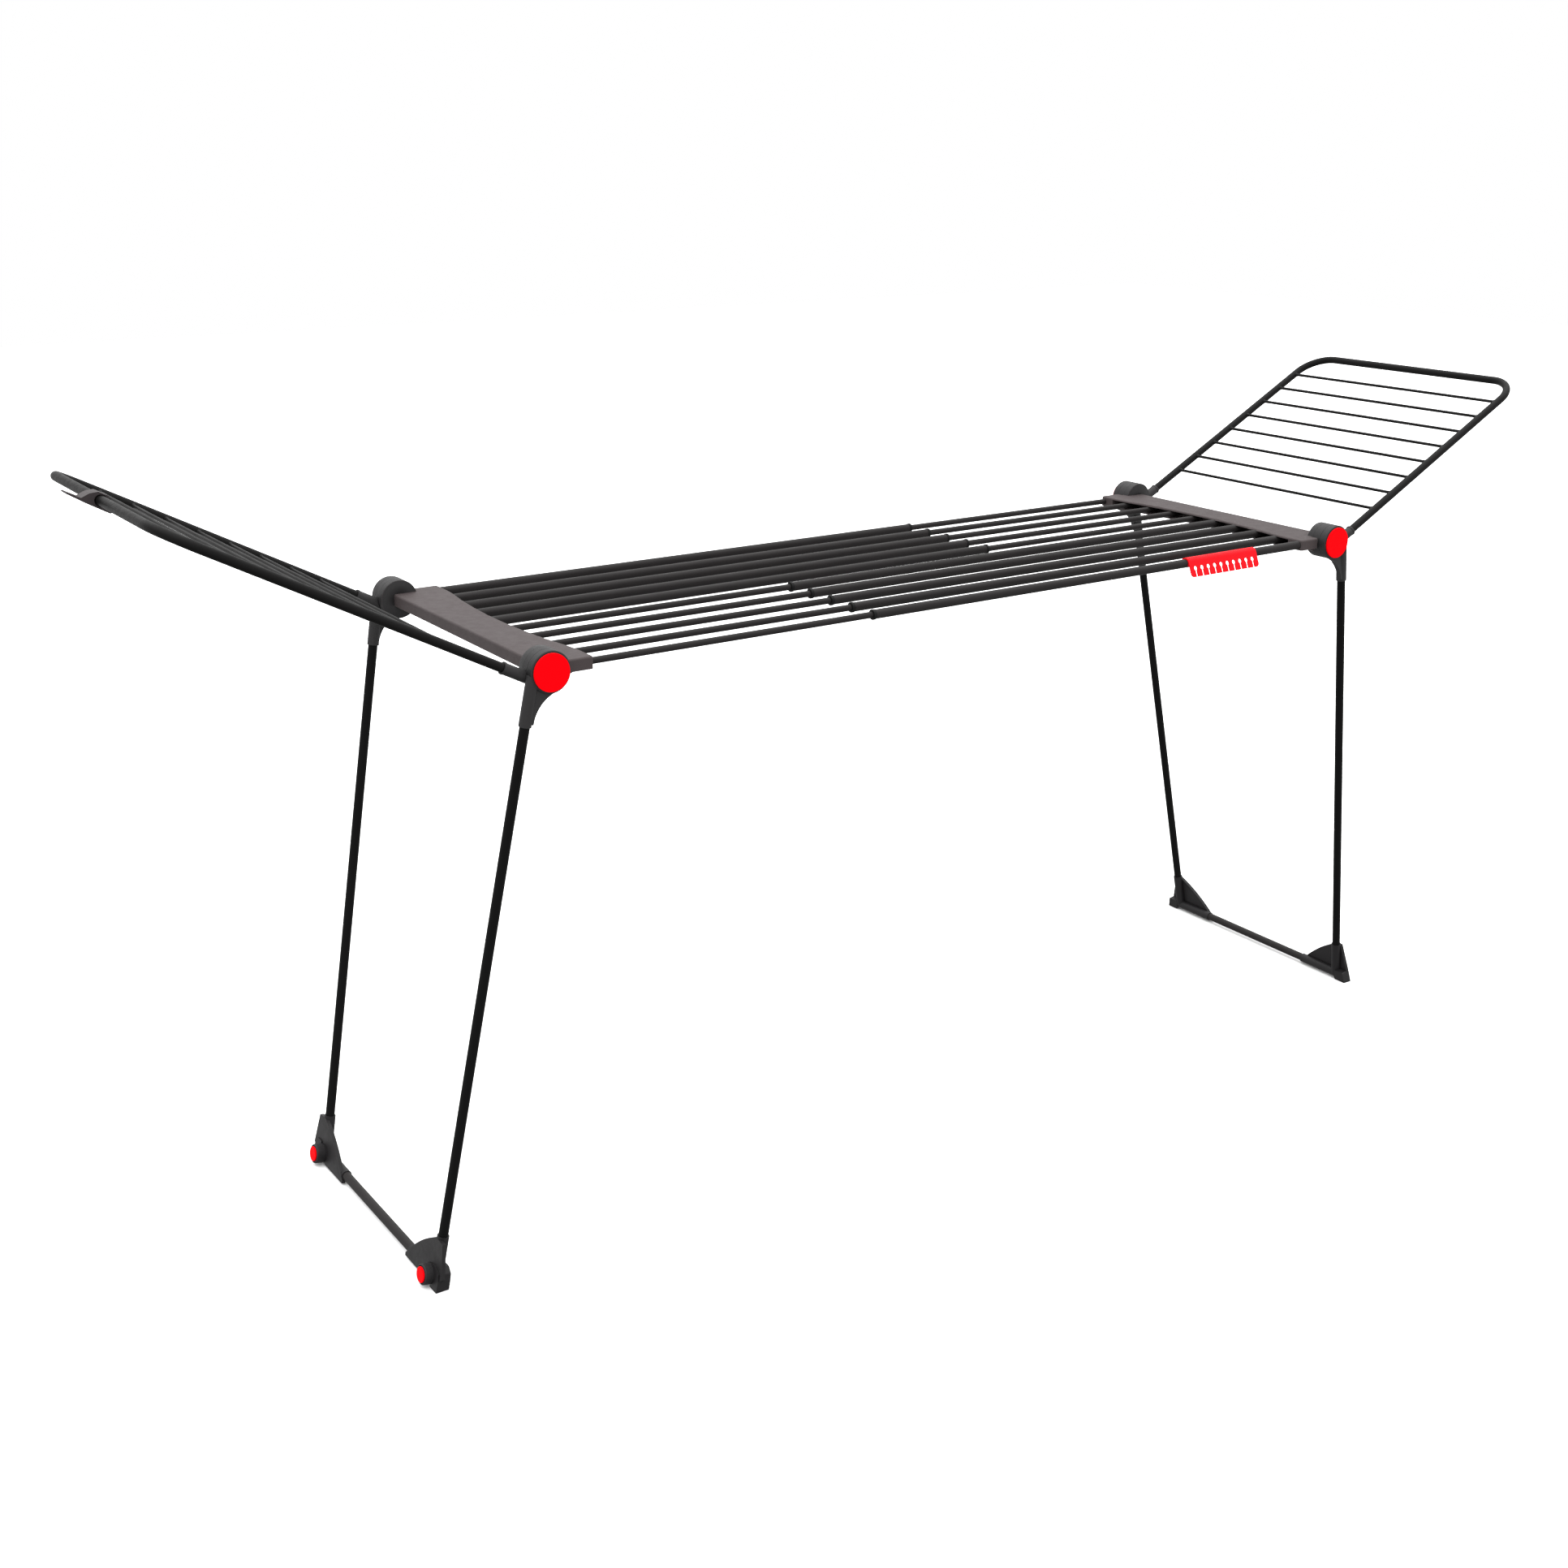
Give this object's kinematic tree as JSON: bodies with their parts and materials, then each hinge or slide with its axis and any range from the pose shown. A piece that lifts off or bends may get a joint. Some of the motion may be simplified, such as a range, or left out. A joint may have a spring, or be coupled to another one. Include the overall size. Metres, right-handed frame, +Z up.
{
  "type": "clothes drying rack",
  "caption": "Extendable folding clothes drying rack: a table of telescoping rails on two splayed leg frames, with two tilting end wings, a hanger comb and transport wheels.",
  "frame": {"origin": "on the floor, under the middle of the bounding box at rest", "axes": "+X from the left end, which has the wheels and the lock clip, to the right end; +Y from the near long side, which has the hanger comb, to the far one; +Z up"},
  "size_m": [2.8433, 0.6, 1.2765],
  "materials": {
    "rail_enamel": "satin charcoal stove enamel on thin steel tube",
    "leg_enamel": "satin near-black enamel on steel tube",
    "wing_enamel": "satin dark enamel on steel tube",
    "wire_enamel": "satin dark enamel on steel wire",
    "collar_plastic": "moulded black plastic",
    "bracket_plastic": "warm grey moulded plastic, fine spark texture",
    "hub_plastic": "dark grey moulded plastic, fine spark texture",
    "foot_plastic": "dark grey moulded plastic, fine spark texture",
    "wheel_plastic": "hard dark grey plastic",
    "red_plastic": "semi-gloss red plastic",
    "comb_plastic": "semi-gloss red plastic",
    "clip_plastic": "warm dark grey moulded plastic",
    "pin_steel": "bright drawn steel"
  },
  "bodies": {
    "left_half": {"left_bracket": "bracket_plastic", "outer_rail_01": "rail_enamel", "outer_rail_02": "rail_enamel", "outer_rail_03": "rail_enamel", "outer_rail_04": "rail_enamel", "outer_rail_05": "rail_enamel", "inner_rail_06": "rail_enamel", "inner_rail_07": "rail_enamel", "inner_rail_08": "rail_enamel", "inner_rail_09": "rail_enamel", "inner_rail_10": "rail_enamel", "rail_collars_back": "collar_plastic", "rail_bushes_front": "collar_plastic", "left_pivot_pins": "pin_steel", "left_hub_caps": "red_plastic"},
    "right_half": {"right_bracket": "bracket_plastic", "outer_rail_06": "rail_enamel", "outer_rail_07": "rail_enamel", "outer_rail_08": "rail_enamel", "outer_rail_09": "rail_enamel", "outer_rail_10": "rail_enamel", "inner_rail_01": "rail_enamel", "inner_rail_02": "rail_enamel", "inner_rail_03": "rail_enamel", "inner_rail_04": "rail_enamel", "inner_rail_05": "rail_enamel", "rail_collars_front": "collar_plastic", "rail_bushes_back": "collar_plastic", "right_pivot_pins": "pin_steel", "right_hub_caps": "red_plastic"},
    "left_legs": {"left_crossbar": "rail_enamel", "left_leg_hub_near": "hub_plastic", "left_leg_near": "leg_enamel", "left_foot_near": "foot_plastic", "left_leg_hub_far": "hub_plastic", "left_leg_far": "leg_enamel", "left_foot_far": "foot_plastic", "wheel_axles": "pin_steel"},
    "right_legs": {"right_crossbar": "rail_enamel", "right_leg_hub_near": "hub_plastic", "right_leg_near": "leg_enamel", "right_foot_near": "foot_plastic", "right_leg_hub_far": "hub_plastic", "right_leg_far": "leg_enamel", "right_foot_far": "foot_plastic"},
    "near_wheel": {"wheel_near": "wheel_plastic", "wheel_cap_near": "red_plastic"},
    "far_wheel": {"wheel_far": "wheel_plastic", "wheel_cap_far": "red_plastic"},
    "left_wing": {"left_wing_frame": "wing_enamel", "left_wing_rods": "wire_enamel", "left_wing_hub_near": "hub_plastic", "left_wing_hub_far": "hub_plastic", "lock_clip": "clip_plastic"},
    "right_wing": {"right_wing_frame": "wing_enamel", "right_wing_rods": "wire_enamel", "right_wing_hub_near": "hub_plastic", "right_wing_hub_far": "hub_plastic"},
    "comb": {"hanger_comb": "comb_plastic"}
  },
  "joints": [
    {"name": "table_extension", "type": "slide", "parent": "left_half", "child": "right_half", "axis": [1, 0, 0], "range_m": [-0.522, 0.25]},
    {"name": "left_leg_fold", "type": "hinge", "parent": "left_half", "child": "left_legs", "pos_m": [-0.8305, 0, 0.995], "axis": [0, -1, 0], "range_deg": [0, 100.75]},
    {"name": "right_leg_fold", "type": "hinge", "parent": "right_half", "child": "right_legs", "pos_m": [0.8715, 0, 0.995], "axis": [0, 1, 0], "range_deg": [0, 96.93]},
    {"name": "left_wing_fold", "type": "hinge", "parent": "left_half", "child": "left_wing", "pos_m": [-0.8305, 0, 0.995], "axis": [0, 1, 0], "range_deg": [0, 149.2]},
    {"name": "right_wing_fold", "type": "hinge", "parent": "right_half", "child": "right_wing", "pos_m": [0.8715, 0, 0.995], "axis": [0, -1, 0], "range_deg": [0, 151.4]},
    {"name": "near_wheel_spin", "type": "hinge", "parent": "left_legs", "child": "near_wheel", "pos_m": [-1.05632, -0.231, 0.02], "axis": [-0.9825, 0, 0.1865], "continuous": true},
    {"name": "far_wheel_spin", "type": "hinge", "parent": "left_legs", "child": "far_wheel", "pos_m": [-1.05632, 0.231, 0.02], "axis": [-0.9825, 0, 0.1865], "continuous": true},
    {"name": "comb_slide", "type": "slide", "parent": "right_half", "child": "comb", "axis": [1, 0, 0], "range_m": [-0.65, 0.1]}
  ]
}
